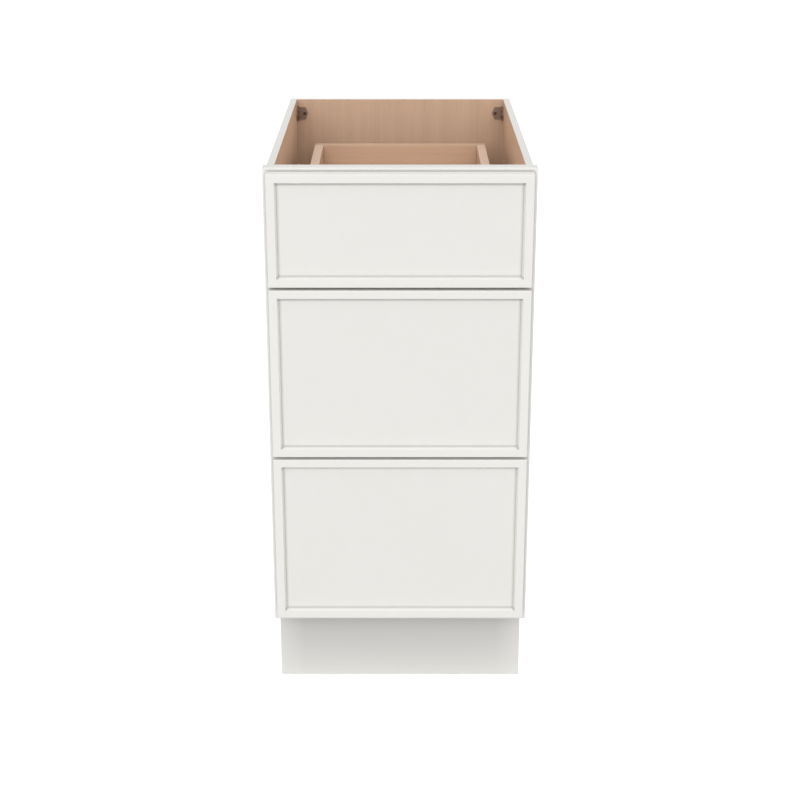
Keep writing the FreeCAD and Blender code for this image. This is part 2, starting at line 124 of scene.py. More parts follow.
grainLook = {
    "streakStretch": (1, 1, 0.025),
    "streakScale": 210,
    "streakShare": 0.62,
    "streakHeight": 0.5,
    "bandStretch": (1, 1, 0.08),
    "bandScale": 26,
    "bandShare": 0.5,
    "figureStretch": (1, 0.6, 0.10),
    "figureScale": 9.0,
    "figureDistortion": 9.0,
    "figureDetail": 2.5,
    "figureDetailScale": 1.2,
    "figureShare": 0.16,
    "poreStretch": (1, 1, 0.035),
    "poreScale": 1150,
    "poreRange": (0.60, 0.74),
    "poreTint": (0.55, 0.44, 0.36),
    "toneRange": (0.42, 0.90),
    "roughRange": (0.40, 0.54),
}


def makeGrainGroup():
    # Grain runs along the vector's Z. Soft streaks, a wide figure and short dark pores
    group, given, result = newGroup(
        "woodGrain",
        [("Vector", "Vector", (0, 0, 0)), ("Light", "Color", (1, 1, 1, 1)), ("Dark", "Color", (0, 0, 0, 1)),
         ("Contrast", "Float", 1.0), ("Pores", "Float", 0.3)],
        [("Color", "Color"), ("Height", "Float"), ("Roughness", "Float")],
    )
    look = grainLook
    streakVector = stretched(group, given["Vector"], look["streakStretch"])
    streak = noise(group, streakVector, look["streakScale"], detail=6, roughness=0.62)
    bandVector = stretched(group, given["Vector"], look["bandStretch"])
    band = noise(group, bandVector, look["bandScale"], detail=3, roughness=0.5, distortion=0.6)
    figure = addNode(group, "TexWave", {
        "Vector": stretched(group, given["Vector"], look["figureStretch"]),
        "Scale": look["figureScale"],
        "Distortion": look["figureDistortion"],
        "Detail": look["figureDetail"],
        "Detail Scale": look["figureDetailScale"],
    }, bands_direction="X").outputs["Fac"]
    poreVector = stretched(group, given["Vector"], look["poreStretch"])
    speckle = noise(group, poreVector, look["poreScale"], detail=2, roughness=0.5)
    pore = remap(group, speckle, *look["poreRange"])
    tone = layered(
        group,
        (streak, look["streakShare"]),
        (band, look["bandShare"]),
        (figure, look["figureShare"]),
    )
    tone = remap(group, tone, *look["toneRange"])
    tone = maths(group, "MULTIPLY", tone, given["Contrast"], clamp=True)
    base = mixColour(group, tone, given["Light"], given["Dark"])
    pored = mixColour(group, 1.0, base, rgba(look["poreTint"]), "MULTIPLY")
    shaded = mixColour(group, maths(group, "MULTIPLY", pore, given["Pores"]), base, pored)
    height = maths(group, "SUBTRACT", maths(group, "MULTIPLY", streak, look["streakHeight"]), pore)
    group.links.new(shaded, result["Color"])
    group.links.new(height, result["Height"])
    group.links.new(remap(group, tone, 0.0, 1.0, *look["roughRange"]), result["Roughness"])
    return group


peelLook = {
    "slowScale": 5.5,
    "slowShare": 0.7,
    "patchScale": 48.0,
    "patchShare": 0.3,
    "driftRange": (0.32, 0.68),
}


def makePeelGroup():
    # Fine sprayed-paint texture with a slow drift of tone
    group, given, result = newGroup(
        "sprayPeel",
        [("Vector", "Vector", (0, 0, 0)), ("Peel Scale", "Float", 520.0)],
        [("Height", "Float"), ("Drift", "Float")],
    )
    fine = noise(group, given["Vector"], given["Peel Scale"], detail=2, roughness=0.5)
    slow = noise(group, given["Vector"], peelLook["slowScale"])
    patch = noise(group, given["Vector"], peelLook["patchScale"], detail=2, roughness=0.5)
    drift = layered(group, (slow, peelLook["slowShare"]), (patch, peelLook["patchShare"]))
    group.links.new(fine, result["Height"])
    group.links.new(remap(group, drift, *peelLook["driftRange"]), result["Drift"])
    return group


wearLook = {
    "cornerRange": (0.99, 0.80),    # agreement of the rounded and the true normal, from flat to corner
    "brokenRange": (0.42, 0.60),
}


def makeWearGroup():
    # Mask of rubbed corners: where a rounded normal leaves the true one, broken up by noise
    group, given, result = newGroup(
        "edgeWear",
        [("Vector", "Vector", (0, 0, 0)), ("Radius", "Float", 0.001), ("Break Up", "Float", 60.0)],
        [("Mask", "Float")],
    )
    rounded = addNode(group, "Bevel", {"Radius": given["Radius"]}, samples=4).outputs["Normal"]
    flat = addNode(group, "NewGeometry").outputs["Normal"]
    agree = addNode(group, "VectorMath", {0: rounded, 1: flat}, operation="DOT_PRODUCT").outputs["Value"]
    corner = remap(group, agree, *wearLook["cornerRange"])
    speckle = noise(group, given["Vector"], given["Break Up"], detail=4, roughness=0.6)
    broken = remap(group, speckle, *wearLook["brokenRange"])
    group.links.new(maths(group, "MULTIPLY", corner, broken), result["Mask"])
    return group


rollLook = {
    "lineStretch": (1, 0.012, 1),
    "lineScale": 900,
    "lineShare": 0.35,
    "cloudScale": 45,
    "cloudShare": 0.6,
    "spangleScale": 260.0,
    "spangleShare": 0.15,
    "toneRange": (0.35, 0.75),
    "roughRange": (0.26, 0.46),
}


def makeRollGroup():
    # Drawn and plated metal: rolling lines along Y and pale zinc clouds
    group, given, result = newGroup(
        "rolledZinc",
        [("Vector", "Vector", (0, 0, 0)), ("Bright", "Color", (1, 1, 1, 1)),
         ("Dull", "Color", (0.5, 0.5, 0.5, 1))],
        [("Color", "Color"), ("Roughness", "Float"), ("Height", "Float")],
    )
    look = rollLook
    lineVector = stretched(group, given["Vector"], look["lineStretch"])
    lines = noise(group, lineVector, look["lineScale"], detail=4, roughness=0.6)
    cloud = noise(group, given["Vector"], look["cloudScale"], detail=4, roughness=0.6)
    cells = addNode(group, "TexVoronoi", {"Vector": given["Vector"], "Scale": look["spangleScale"]})
    spangle = addNode(group, "RGBToBW", {"Color": cells.outputs["Color"]}).outputs["Val"]
    tone = layered(
        group,
        (cloud, look["cloudShare"]),
        (lines, look["lineShare"]),
        (spangle, look["spangleShare"]),
    )
    tone = remap(group, tone, *look["toneRange"])
    group.links.new(mixColour(group, tone, given["Bright"], given["Dull"]), result["Color"])
    group.links.new(remap(group, tone, 0.0, 1.0, *look["roughRange"]), result["Roughness"])
    group.links.new(lines, result["Height"])
    return group


def makeCreviceGroup():
    # Mask of painted shade in inner corners: how much of the near surroundings is closed off.
    # Deep sets how much of it stays in narrow gaps, which are dark already
    group, given, result = newGroup(
        "creviceShade",
        [("Reach", "Float", 0.014), ("Strength", "Float", 0.5), ("Deep", "Float", 1.0)],
        [("Mask", "Float")],
    )
    openness = addNode(group, "AmbientOcclusion", {"Distance": given["Reach"]}, samples=8).outputs["AO"]
    closed = maths(group, "SUBTRACT", 1.0, openness)
    spared = maths(group, "MULTIPLY", closed, maths(group, "SUBTRACT", 1.0, given["Deep"]))
    shade = maths(group, "MULTIPLY", closed, maths(group, "SUBTRACT", 1.0, spared))
    group.links.new(maths(group, "MULTIPLY", shade, given["Strength"], clamp=True), result["Mask"])
    return group


grainGroup = makeGrainGroup()
peelGroup = makePeelGroup()
wearGroup = makeWearGroup()
rollGroup = makeRollGroup()
creviceGroup = makeCreviceGroup()
print("shader groups made")


# Material helpers

def newMaterial(name):
    material = bpy.data.materials.new(name)
    material.use_nodes = True
    tree = material.node_tree
    shader = tree.nodes["Principled BSDF"]
    coordinates = addNode(tree, "TexCoord")
    return material, tree, shader, coordinates.outputs


def useGroup(tree, group, inputs):
    return addNode(tree, "Group", inputs, node_tree=group).outputs


def setBump(tree, shader, height, strength, distance):
    bump = addNode(tree, "Bump", {"Height": height, "Strength": strength, "Distance": distance})
    tree.links.new(bump.outputs["Normal"], shader.inputs["Normal"])


def shadeCrevices(tree, colour, look):
    # Painted shade: the colour darkens towards creviceColour in inner corners and gaps
    crevice = useGroup(tree, creviceGroup, {
        "Reach": look["creviceReach"],
        "Strength": look["creviceShade"],
        "Deep": look["creviceDeep"],
    })["Mask"]
    return mixColour(tree, crevice, colour, rgba(look["creviceColour"]))


def grainVector(tree, position, axis):
    # Turns the coordinates so that the grain axis becomes Z
    parts = addNode(tree, "SeparateXYZ", {"Vector": position}).outputs
    order = {"x": ("Z", "Y", "X"), "y": ("X", "Z", "Y"), "z": ("X", "Y", "Z")}[axis]
    picked = {target: parts[source] for target, source in zip("XYZ", order)}
    return addNode(tree, "CombineXYZ", picked).outputs["Vector"]


# White paint: satin spray finish on the fronts, face frame, toe board and outer sides

paintLook = {
    "colour": (0.872, 0.860, 0.828),
    "drift": (0.858, 0.845, 0.811),
    "rubbed": (0.80, 0.785, 0.745),
    "rubbedShare": 0.15,
    "roughLow": 0.36,
    "roughHigh": 0.44,
    "peelScale": 620.0,
    "bumpStrength": 0.10,
    "bumpDistance": 0.12 * mm,
    "wearRadius": 0.7 * mm,
    # painted shade in the paint's inner corners, recesses and gaps
    "creviceReach": 4.2 * mm,
    "creviceShade": 2.35,
    "creviceDeep": 0.0,
    "creviceColour": (0.30, 0.29, 0.27),
    "panelTone": 0.965,  # the recessed panels are a touch greyer than the sticks
    "toeTone": 0.99,
    "toeTopTone": 0.63,  # painted shade: greyer under the overhang of the fronts
    "toeFade": 0.6,
    "toeEndReach": 36 * mm,  # painted shade lessens here, as more light gets in round the ends of the board
    "toeEndShare": 0.48,     # of the painted shade that is left there
}


def toned(colour, tone):
    return rgba([channel * tone for channel in colour])


def paintNodes(tree, position, tone=1.0, crevices=True):
    peel = useGroup(tree, peelGroup, {"Vector": position, "Peel Scale": paintLook["peelScale"]})
    wear = useGroup(tree, wearGroup, {"Vector": position, "Radius": paintLook["wearRadius"]})["Mask"]
    fresh, drifted = toned(paintLook["colour"], tone), toned(paintLook["drift"], tone)
    colour = mixColour(tree, peel["Drift"], fresh, drifted)
    rubbed = maths(tree, "MULTIPLY", wear, paintLook["rubbedShare"])
    colour = mixColour(tree, rubbed, colour, toned(paintLook["rubbed"], tone))
    if crevices:
        colour = shadeCrevices(tree, colour, paintLook)
    rough = remap(tree, peel["Drift"], 0.0, 1.0, paintLook["roughLow"], paintLook["roughHigh"])
    return colour, rough, peel["Height"]


def makePaint(name, tone=1.0):
    material, tree, shader, coordinates = newMaterial(name)
    colour, rough, height = paintNodes(tree, coordinates["Object"], tone)
    tree.links.new(colour, shader.inputs["Base Color"])
    tree.links.new(rough, shader.inputs["Roughness"])
    setBump(tree, shader, height, paintLook["bumpStrength"], paintLook["bumpDistance"])
    return material


def makeToePaint():
    # Painted shade: the board turns greyer towards its top edge, under the overhang of the fronts, and less
    # so near its ends
    material, tree, shader, coordinates = newMaterial("toePaint")
    position = coordinates["Object"]
    low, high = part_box("toe_kick_board")
    parts = addNode(tree, "SeparateXYZ", {"Vector": position}).outputs
    rise = maths(tree, "POWER", remap(tree, parts["Z"], low.z, high.z), paintLook["toeFade"])
    across = maths(tree, "ABSOLUTE", parts["X"])
    inner = remap(tree, across, high.x - paintLook["toeEndReach"], high.x, 1.0, paintLook["toeEndShare"])
    lowColour, rough, peel = paintNodes(tree, position, paintLook["toeTone"], crevices=False)
    highColour = toned(paintLook["colour"], paintLook["toeTopTone"])
    # painted shade mask, high under the overhang and eased towards the ends
    grey = maths(tree, "MULTIPLY", rise, inner)
    tree.links.new(mixColour(tree, grey, lowColour, highColour), shader.inputs["Base Color"])
    tree.links.new(rough, shader.inputs["Roughness"])
    setBump(tree, shader, peel, paintLook["bumpStrength"], paintLook["bumpDistance"])
    return material


# Clear-coated veneer and maple: carcass insides, drawer boxes and their bottoms

woodLook = {
    "light": (0.70, 0.488, 0.345),
    "dark": (0.585, 0.396, 0.270),
    "endGrain": (0.46, 0.29, 0.185),
    "paleUpwardEdge": (0.80, 0.60, 0.465),
    "backEdge": (0.93, 0.86, 0.81),
    "backEdgeShare": 1.0,   # how pale the upward edge is
    "boxEdgeShare": 0.9,
    "endRange": (0.6, 0.8),  # how squarely a face looks along the grain, or up
    "ringScale": 420,
    "plyDark": (0.36, 0.22, 0.13),
    "plyLayer": 1.6 * mm,
    "plyRange": (0.42, 0.58),
    "veneerDepth": 0.4 * mm,
    "rearDepth": 0.3 * mm,
    "contrast": 0.75,
    "pores": 0.35,
    "bumpStrength": 0.18,
    "sideBump": 0.14,
    "bumpDistance": 0.10 * mm,
    # painted shade in the deep inner corners of the carcass and boxes
    "creviceReach": 70 * mm,
    "creviceShade": 0.22,
    "creviceDeep": 1.0,
    "creviceColour": (0.24, 0.155, 0.10),
    "sideTone": 1.20,    # painted light and shade: the inner sides are lightened, the back and box boards darkened, to even out how the light falls on them
    "backTone": 0.92,
    "boxEndTone": 0.95,
    "boxSideTone": 0.96,
}


def woodNodes(tree, position, axis, tone):
    return useGroup(tree, grainGroup, {
        "Vector": grainVector(tree, position, axis),
        "Light": toned(woodLook["light"], tone),
        "Dark": toned(woodLook["dark"], tone),
        "Contrast": woodLook["contrast"],
        "Pores": woodLook["pores"],
    })


def makeWood(name, axis, tone=1.0, topEdge=0.0, edgeColour="paleUpwardEdge"):
    # End grain shows where the surface faces along the grain, and faces that point up get a paler colour
    material, tree, shader, coordinates = newMaterial(name)
    wood = woodNodes(tree, coordinates["Object"], axis, tone)
    facing = addNode(tree, "SeparateXYZ", {"Vector": coordinates["Normal"]}).outputs
    ends = remap(tree, maths(tree, "ABSOLUTE", facing[axis.upper()]), *woodLook["endRange"])
    rings = noise(tree, coordinates["Object"], woodLook["ringScale"], roughness=0.6)
    endColour = mixColour(tree, rings, rgba(woodLook["endGrain"]), rgba(woodLook["dark"]))
    colour = mixColour(tree, ends, wood["Color"], endColour)
    if topEdge:
        up = remap(tree, facing["Z"], *woodLook["endRange"])
        pale = mixColour(tree, topEdge, colour, rgba(woodLook[edgeColour]))
        colour = mixColour(tree, up, colour, pale)
    # painted shade in the wood's inner corners
    tree.links.new(shadeCrevices(tree, colour, woodLook), shader.inputs["Base Color"])
    tree.links.new(wood["Roughness"], shader.inputs["Roughness"])
    setBump(tree, shader, wood["Height"], woodLook["bumpStrength"], woodLook["bumpDistance"])
    return material


def makeSideFinish():
    # Painted outside and on the edges, veneer on the inner face, bare plies on the rear edge
    low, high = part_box("right_side_panel")
    innerFace = low.x + woodLook["veneerDepth"]
    rearEdge = high.y - woodLook["rearDepth"]
    material, tree, shader, coordinates = newMaterial("sidePanelFinish")
    position = coordinates["Object"]
    parts = addNode(tree, "SeparateXYZ", {"Vector": position}).outputs
    paint, paintRough, peel = paintNodes(tree, position)
    # the inner face's veneer is set lighter (sideTone): painted light
    wood = woodNodes(tree, position, "z", woodLook["sideTone"])
    across = maths(tree, "ABSOLUTE", parts["X"])
    inside = maths(tree, "LESS_THAN", across, innerFace)
    rear = maths(tree, "GREATER_THAN", parts["Y"], rearEdge)
    layer = maths(tree, "PINGPONG", maths(tree, "DIVIDE", across, woodLook["plyLayer"]), 1.0)
    stripes = remap(tree, layer, *woodLook["plyRange"])
    ply = mixColour(tree, stripes, wood["Color"], rgba(woodLook["plyDark"]))
    # painted shade in the corners of the veneered inner face
    colour = mixColour(tree, inside, paint, shadeCrevices(tree, wood["Color"], woodLook))
    colour = mixColour(tree, rear, colour, ply)
    bare = maths(tree, "MAXIMUM", inside, rear)
    tree.links.new(colour, shader.inputs["Base Color"])
    tree.links.new(mixValue(tree, bare, paintRough, wood["Roughness"]), shader.inputs["Roughness"])
    height = mixValue(tree, bare, peel, wood["Height"])
    setBump(tree, shader, height, woodLook["sideBump"], woodLook["bumpDistance"])
    return material


# Plated steel of the slides and screws

steelLook = {
    "bright": (0.74, 0.75, 0.77),
    "dull": (0.50, 0.515, 0.54),
    "screwBright": (0.80, 0.80, 0.81),
    "screwDull": (0.55, 0.55, 0.57),
    "bronzeBright": (0.115, 0.075, 0.052),
    "bronzeDull": (0.060, 0.038, 0.027),
    "rubbed": (0.86, 0.86, 0.86),
    "rubbedShare": 0.6,
    "bronzeRubbedShare": 0.10,
    "wearRadius": 0.5 * mm,
    "bumpStrength": 0.15,
    "bumpDistance": 0.05 * mm,
}


def makeSteel(name, bright, dull, rubbedShare=steelLook["rubbedShare"]):
    material, tree, shader, coordinates = newMaterial(name)
    position = coordinates["Object"]
    roll = useGroup(tree, rollGroup, {"Vector": position, "Bright": rgba(bright), "Dull": rgba(dull)})
    wear = useGroup(tree, wearGroup, {"Vector": position, "Radius": steelLook["wearRadius"]})["Mask"]
    worn = maths(tree, "MULTIPLY", wear, rubbedShare)
    colour = mixColour(tree, worn, roll["Color"], rgba(steelLook["rubbed"]))
    tree.links.new(colour, shader.inputs["Base Color"])
    tree.links.new(roll["Roughness"], shader.inputs["Roughness"])
    shader.inputs["Metallic"].default_value = 1.0
    setBump(tree, shader, roll["Height"], steelLook["bumpStrength"], steelLook["bumpDistance"])
    return material


# Moulded plastic and rubber

mouldLook = {
    "peelScale": 1400.0,
    "driftTone": 0.82,
    "wearRadius": 0.5 * mm,
    "wearBreakUp": 220.0,
    "bumpStrength": 0.25,
    "bumpDistance": 0.06 * mm,
}

plasticLooks = {
    "braceBrown": {"colour": (0.262, 0.165, 0.116), "worn": (0.36, 0.245, 0.185), "rough": (0.40, 0.52)},
    "bracketGrey": {"colour": (0.27, 0.275, 0.285), "worn": (0.40, 0.40, 0.41), "rough": (0.42, 0.56)},
    "bumperClear": {"colour": (0.72, 0.72, 0.70), "worn": (0.80, 0.80, 0.78), "rough": (0.22, 0.34)},
}


def makePlastic(name):
    look = plasticLooks[name]
    material, tree, shader, coordinates = newMaterial(name)
    position = coordinates["Object"]
    peel = useGroup(tree, peelGroup, {"Vector": position, "Peel Scale": mouldLook["peelScale"]})
    wear = useGroup(tree, wearGroup, {
        "Vector": position,
        "Radius": mouldLook["wearRadius"],
        "Break Up": mouldLook["wearBreakUp"],
    })["Mask"]
    drifted = toned(look["colour"], mouldLook["driftTone"])
    shade = mixColour(tree, peel["Drift"], rgba(look["colour"]), drifted)
    tree.links.new(mixColour(tree, wear, shade, rgba(look["worn"])), shader.inputs["Base Color"])
    tree.links.new(remap(tree, peel["Drift"], 0.0, 1.0, *look["rough"]), shader.inputs["Roughness"])
    setBump(tree, shader, peel["Height"], mouldLook["bumpStrength"], mouldLook["bumpDistance"])
    return material


whitePaint = makePaint("whitePaint")
panelPaint = makePaint("panelPaint", paintLook["panelTone"])
toePaint = makeToePaint()
sideFinish = makeSideFinish()
# the back and box boards take darker tones than the inner sides: painted shade
backVeneer = makeWood("backVeneer", "z", woodLook["backTone"], woodLook["backEdgeShare"], "backEdge")
floorVeneer = makeWood("floorVeneer", "x")
boxSideMaple = makeWood("boxSideMaple", "y", woodLook["boxSideTone"], woodLook["boxEdgeShare"])
boxEndMaple = makeWood("boxEndMaple", "x", woodLook["boxEndTone"])
boxBottomPly = makeWood("boxBottomPly", "y")
railSteel = makeSteel("railSteel", steelLook["bright"], steelLook["dull"])
screwZinc = makeSteel("screwZinc", steelLook["screwBright"], steelLook["screwDull"])
screwBronze = makeSteel("screwBronze", steelLook["bronzeBright"], steelLook["bronzeDull"],
                        steelLook["bronzeRubbedShare"])
braceBrown = makePlastic("braceBrown")
bracketGrey = makePlastic("bracketGrey")
bumperClear = makePlastic("bumperClear")
print("materials made:", len(bpy.data.materials))


# Finishes on the frame's own pieces, with their hard corners eased

easeLook = {
    "panel": 0.5 * mm,
    "frame": 0.4 * mm,
    "box": 0.6 * mm,
    "rail": 0.45 * mm,
    "plastic": 0.5 * mm,
    "bumper": 0.7 * mm,
    "flatAngle": 1.0,       # faces within it count as one, in degrees
    "sharpAngle": 35.0,     # edges past it are eased
    "segments": 2,
}


def easeEdges(piece, width):
    weld = piece.modifiers.new("joinedCorners", "WELD")
    weld.merge_threshold = near
    flats = piece.modifiers.new("wholeFaces", "DECIMATE")
    flats.decimate_type = "DISSOLVE"
    flats.angle_limit = math.radians(easeLook["flatAngle"])
    ease = piece.modifiers.new("easedEdges", "BEVEL")
    ease.width = width
    ease.segments = easeLook["segments"]
    ease.limit_method = "ANGLE"
    ease.angle_limit = math.radians(easeLook["sharpAngle"])
    ease.harden_normals = True


def dress(name, material, ease=None):
    piece = nodes[name]
    for slot in piece.material_slots:
        slot.material = material
    if ease:
        easeEdges(piece, easeLook[ease])


for side in ("left", "right"):
    dress(f"{side}_side_panel", sideFinish, "panel")
    dress(f"frame_{side}_stile", whitePaint, "frame")
    dress(f"corner_brace_{side}", braceBrown, "plastic")
for rail in ("top", "upper_middle", "lower_middle", "bottom"):
    dress(f"frame_{rail}_rail", whitePaint, "frame")
dress("back_panel", backVeneer, "panel")
dress("cabinet_floor", floorVeneer, "panel")
dress("toe_kick_board", toePaint, "panel")
dress("slide_rear_brackets", bracketGrey, "plastic")
dress("front_bumpers", bumperClear, "bumper")
for drawer in drawers:
    dress(f"{drawer}_front_panel", panelPaint)
    dress(f"{drawer}_box_left_side", boxSideMaple, "box")
    dress(f"{drawer}_box_right_side", boxSideMaple, "box")
    dress(f"{drawer}_box_front", boxEndMaple, "box")
    dress(f"{drawer}_box_back", boxEndMaple, "box")
    dress(f"{drawer}_box_bottom", boxBottomPly)
    for member in ("cabinet", "middle", "drawer"):
        dress(f"{drawer}_slide_{member}_rails", railSteel, "rail")
print("frame pieces dressed")


# New pieces

def finishPiece(name, bm, material, body, replaced):
    bmesh.ops.remove_doubles(bm, verts=bm.verts, dist=touching)
    bmesh.ops.recalc_face_normals(bm, faces=bm.faces)
    mesh = bpy.data.meshes.new(name)
    bm.to_mesh(mesh)
    bm.free()
    mesh.materials.append(material)
    piece = bpy.data.objects.new(name, mesh)
    bpy.context.scene.collection.objects.link(piece)
    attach(piece, body)
    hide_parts(*replaced)
    return piece


# Drawer front frame: one painted ring with rounded edges, its joints filled by the paint

frontLook = {
    "bevelWidth": 3.0 * mm,      # across the sloped inner edge
    "tongueThickness": 6.0 * mm,
    "outerRound": 1.1 * mm,
    "innerRound": 0.3 * mm,
    "roundSteps": 3,
}


def sweepRing(bm, halfWidth, halfHeight, profile):
    # A rectangular loop carried from one profile point to the next. Points are (depth, distance inwards)
    depth, inset = profile[0]
    across, aloft = halfWidth - inset, halfHeight - inset
    corners = [(-across, -aloft), (across, -aloft), (across, aloft), (-across, aloft)]
    verts = [bm.verts.new((x, depth, z)) for x, z in corners]
    loop = [bm.edges.new((verts[i], verts[i - 1])) for i in range(4)]
    for nextDepth, nextInset in profile[1:] + profile[:1]:
        made = bmesh.ops.extrude_edge_only(bm, edges=loop)["geom"]
        moved = [item for item in made if isinstance(item, bmesh.types.BMVert)]
        for vert in moved:
            vert.co.x -= math.copysign(1, vert.co.x) * (nextInset - inset)
            vert.co.z -= math.copysign(1, vert.co.z) * (nextInset - inset)
            vert.co.y += nextDepth - depth
        edges = [item for item in made if isinstance(item, bmesh.types.BMEdge)]
        loop = [edge for edge in edges if all(vert in moved for vert in edge.verts)]
        depth, inset = nextDepth, nextInset
    bmesh.ops.remove_doubles(bm, verts=bm.verts, dist=touching)


def roundEdges(bm, inset, depths, halfWidth, halfHeight, radius):
    # Rounds the edges that join corners of the ring at one inset and at the given depths
    def onCorner(vert):
        atDepth = any(abs(vert.co.y - depth) < near for depth in depths)
        aside = abs(abs(vert.co.x) - (halfWidth - inset)) < near
        aloft = abs(abs(vert.co.z) - (halfHeight - inset)) < near
        return atDepth and aside and aloft

    edges = [edge for edge in bm.edges if all(onCorner(vert) for vert in edge.verts)]
    bmesh.ops.bevel(bm, geom=edges, offset=radius, offset_type="OFFSET", affect="EDGES",
                    segments=frontLook["roundSteps"], profile=0.5, material=-1)


def makeFrontFrame(drawer):
    low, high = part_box(f"{drawer}_front_left_stile")
    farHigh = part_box(f"{drawer}_front_right_stile")[1]
    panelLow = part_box(f"{drawer}_front_panel")[0]
    centre = Vector(((low.x + farHigh.x) / 2, low.y, (low.z + high.z) / 2))
    halfWidth, halfHeight = (farHigh.x - low.x) / 2, (high.z - low.z) / 2
    width, thickness = high.x - low.x, high.y - low.y
    recess = panelLow.y - low.y
    grooveFoot = panelLow.x - low.x
    grooveRear = recess + frontLook["tongueThickness"]
    slope = width - frontLook["bevelWidth"]
    profile = [(0, 0), (0, slope), (recess, width), (recess, grooveFoot), (grooveRear, grooveFoot),
               (grooveRear, width), (thickness, width), (thickness, 0)]
    bm = bmesh.new()
    sweepRing(bm, halfWidth, halfHeight, profile)
    roundEdges(bm, 0, (0, thickness), halfWidth, halfHeight, frontLook["outerRound"])
    roundEdges(bm, slope, (0,), halfWidth, halfHeight, frontLook["innerRound"])
    bmesh.ops.translate(bm, verts=bm.verts, vec=centre)
    sticks = [f"{drawer}_front_{part}" for part in ("left_stile", "right_stile", "top_rail", "bottom_rail")]
    return finishPiece(f"{drawer}_front_frame", bm, whitePaint, f"{drawer}_drawer", sticks)


for drawer in drawers:
    makeFrontFrame(drawer)
print("drawer front frames made")


# Screws: pan heads with a cross recess, one for each plain screw of the frame

screwLook = {
    "headSegments": 28,
    "rimShare": 0.62,        # of the head's height that is rounded
    "rimSteps": 4,
    "armHalf": 0.17,         # of the head's radius
    "armReach": 0.62,
    "recessShare": 0.62,     # of the head's height
    "recessTaper": 0.72,     # of the cross's width that is left at its floor
    "cutNear": 0.0001 * mm,  # corners this close to a cut take part in it
    "shankSegments": 16,
    "tipShare": 0.22,        # of the shank that tapers to its point
    "pointShare": 0.15,      # of the shank's radius at the very point
}


def islandsOf(bm):
    # The vertices of each separate solid
    left = set(bm.verts)
    while left:
        queue = [left.pop()]
        island = list(queue)
        while queue:
            for edge in queue.pop().link_edges:
                for vert in edge.verts:
                    if vert in left:
                        left.remove(vert)
                        queue.append(vert)
                        island.append(vert)
        yield island


def readScrew(island):
    # Where a plain screw's head seats, which way it points, and its sizes
    low = Vector([min(vert.co[k] for vert in island) for k in range(3)])
    high = Vector([max(vert.co[k] for vert in island) for k in range(3)])
    span = high - low
    middle = (low + high) / 2
    axis = max(range(3), key=lambda k: span[k])
    cross = [k for k in range(3) if k != axis]

    def endRadius(value):
        rim = [vert for vert in island if abs(vert.co[axis] - value) < near]
        return max(math.hypot(*(vert.co[k] - middle[k] for k in cross)) for vert in rim)

    lowRadius, highRadius = endRadius(low[axis]), endRadius(high[axis])
    steps = sorted({round(vert.co[axis], 6) for vert in island})  # levels along the axis, to the micrometre
    headTop, seatLevel = (steps[-1], steps[-2]) if highRadius > lowRadius else (steps[0], steps[1])
    seat = middle.copy()
    seat[axis] = seatLevel
    out = Vector((0, 0, 0))
    out[axis] = math.copysign(1, headTop - seatLevel)
    headHeight = abs(headTop - seatLevel)
    return {
        "seat": seat,
        "out": out,
        "headHeight": headHeight,
        "headRadius": max(lowRadius, highRadius),
        "length": span[axis] - headHeight,
        "radius": min(lowRadius, highRadius),
    }


def screwPlaces(nodeName):
    # Reads each plain screw off a merged copy of its node
    bm = bmesh.new()
    bm.from_mesh(nodes[nodeName].data)
    bmesh.ops.remove_doubles(bm, verts=bm.verts, dist=near)
    places = [readScrew(island) for island in islandsOf(bm)]
    bm.free()
    return places


def addHead(part, radius, height):
    bmesh.ops.create_cone(part, cap_ends=True, segments=screwLook["headSegments"], radius1=radius,
                          radius2=radius, depth=height)
    bmesh.ops.translate(part, verts=part.verts, vec=(0, 0, height / 2))
    rim = [edge for edge in part.edges if all(abs(vert.co.z - height) < near for vert in edge.verts)]
    bmesh.ops.bevel(part, geom=rim, offset=height * screwLook["rimShare"], offset_type="OFFSET",
                    affect="EDGES", segments=screwLook["rimSteps"], profile=0.5, material=-1)


def sinkCross(part, radius, height):
    # Cuts the top face along both arms of the cross, then sinks the faces inside it
    half, reach = screwLook["armHalf"] * radius, screwLook["armReach"] * radius
    top = max(part.faces, key=lambda face: face.calc_center_median().z + face.calc_area())
    cap = [top, *top.edges, *top.verts]
    for offset in (-reach, -half, half, reach):
        for way in ((1, 0, 0), (0, 1, 0)):
            point = Vector(way) * offset + Vector((0, 0, height))
            made = bmesh.ops.bisect_plane(part, geom=cap, dist=screwLook["cutNear"], plane_co=point,
                                          plane_no=way)["geom"]
            faces = {item for item in made if isinstance(item, bmesh.types.BMFace)}
            edges = {edge for face in faces for edge in face.edges}
            verts = {vert for face in faces for vert in face.verts}
            cap = [*faces, *edges, *verts]

    def inCross(face):
        centre = face.calc_center_median()
        arms = (abs(centre.x), abs(centre.y))
        return max(arms) < reach and min(arms) < half

    cross = [item for item in cap if isinstance(item, bmesh.types.BMFace) and inCross(item)]
    sunk = bmesh.ops.extrude_face_region(part, geom=cross)["geom"]
    bmesh.ops.delete(part, geom=cross, context="FACES_KEEP_BOUNDARY")
    floor = [item for item in sunk if isinstance(item, bmesh.types.BMVert)]
    taper = screwLook["recessTaper"]
    bmesh.ops.scale(part, verts=floor, vec=(taper, taper, 1.0))
    bmesh.ops.translate(part, verts=floor, vec=(0, 0, -height * screwLook["recessShare"]))


def addShank(part, radius, length):
    # A plain shank below the seat and the cone of its point
    tip = length * screwLook["tipShare"]
    shank = bmesh.ops.create_cone(part, cap_ends=True, segments=screwLook["shankSegments"], radius1=radius,
                                  radius2=radius, depth=length - tip)["verts"]
    bmesh.ops.translate(part, verts=shank, vec=(0, 0, -(length - tip) / 2))
    pointRadius = radius * screwLook["pointShare"]
    point = bmesh.ops.create_cone(part, cap_ends=True, segments=screwLook["shankSegments"],
                                  radius1=pointRadius, radius2=radius, depth=tip)["verts"]
    bmesh.ops.translate(part, verts=point, vec=(0, 0, -length + tip / 2))


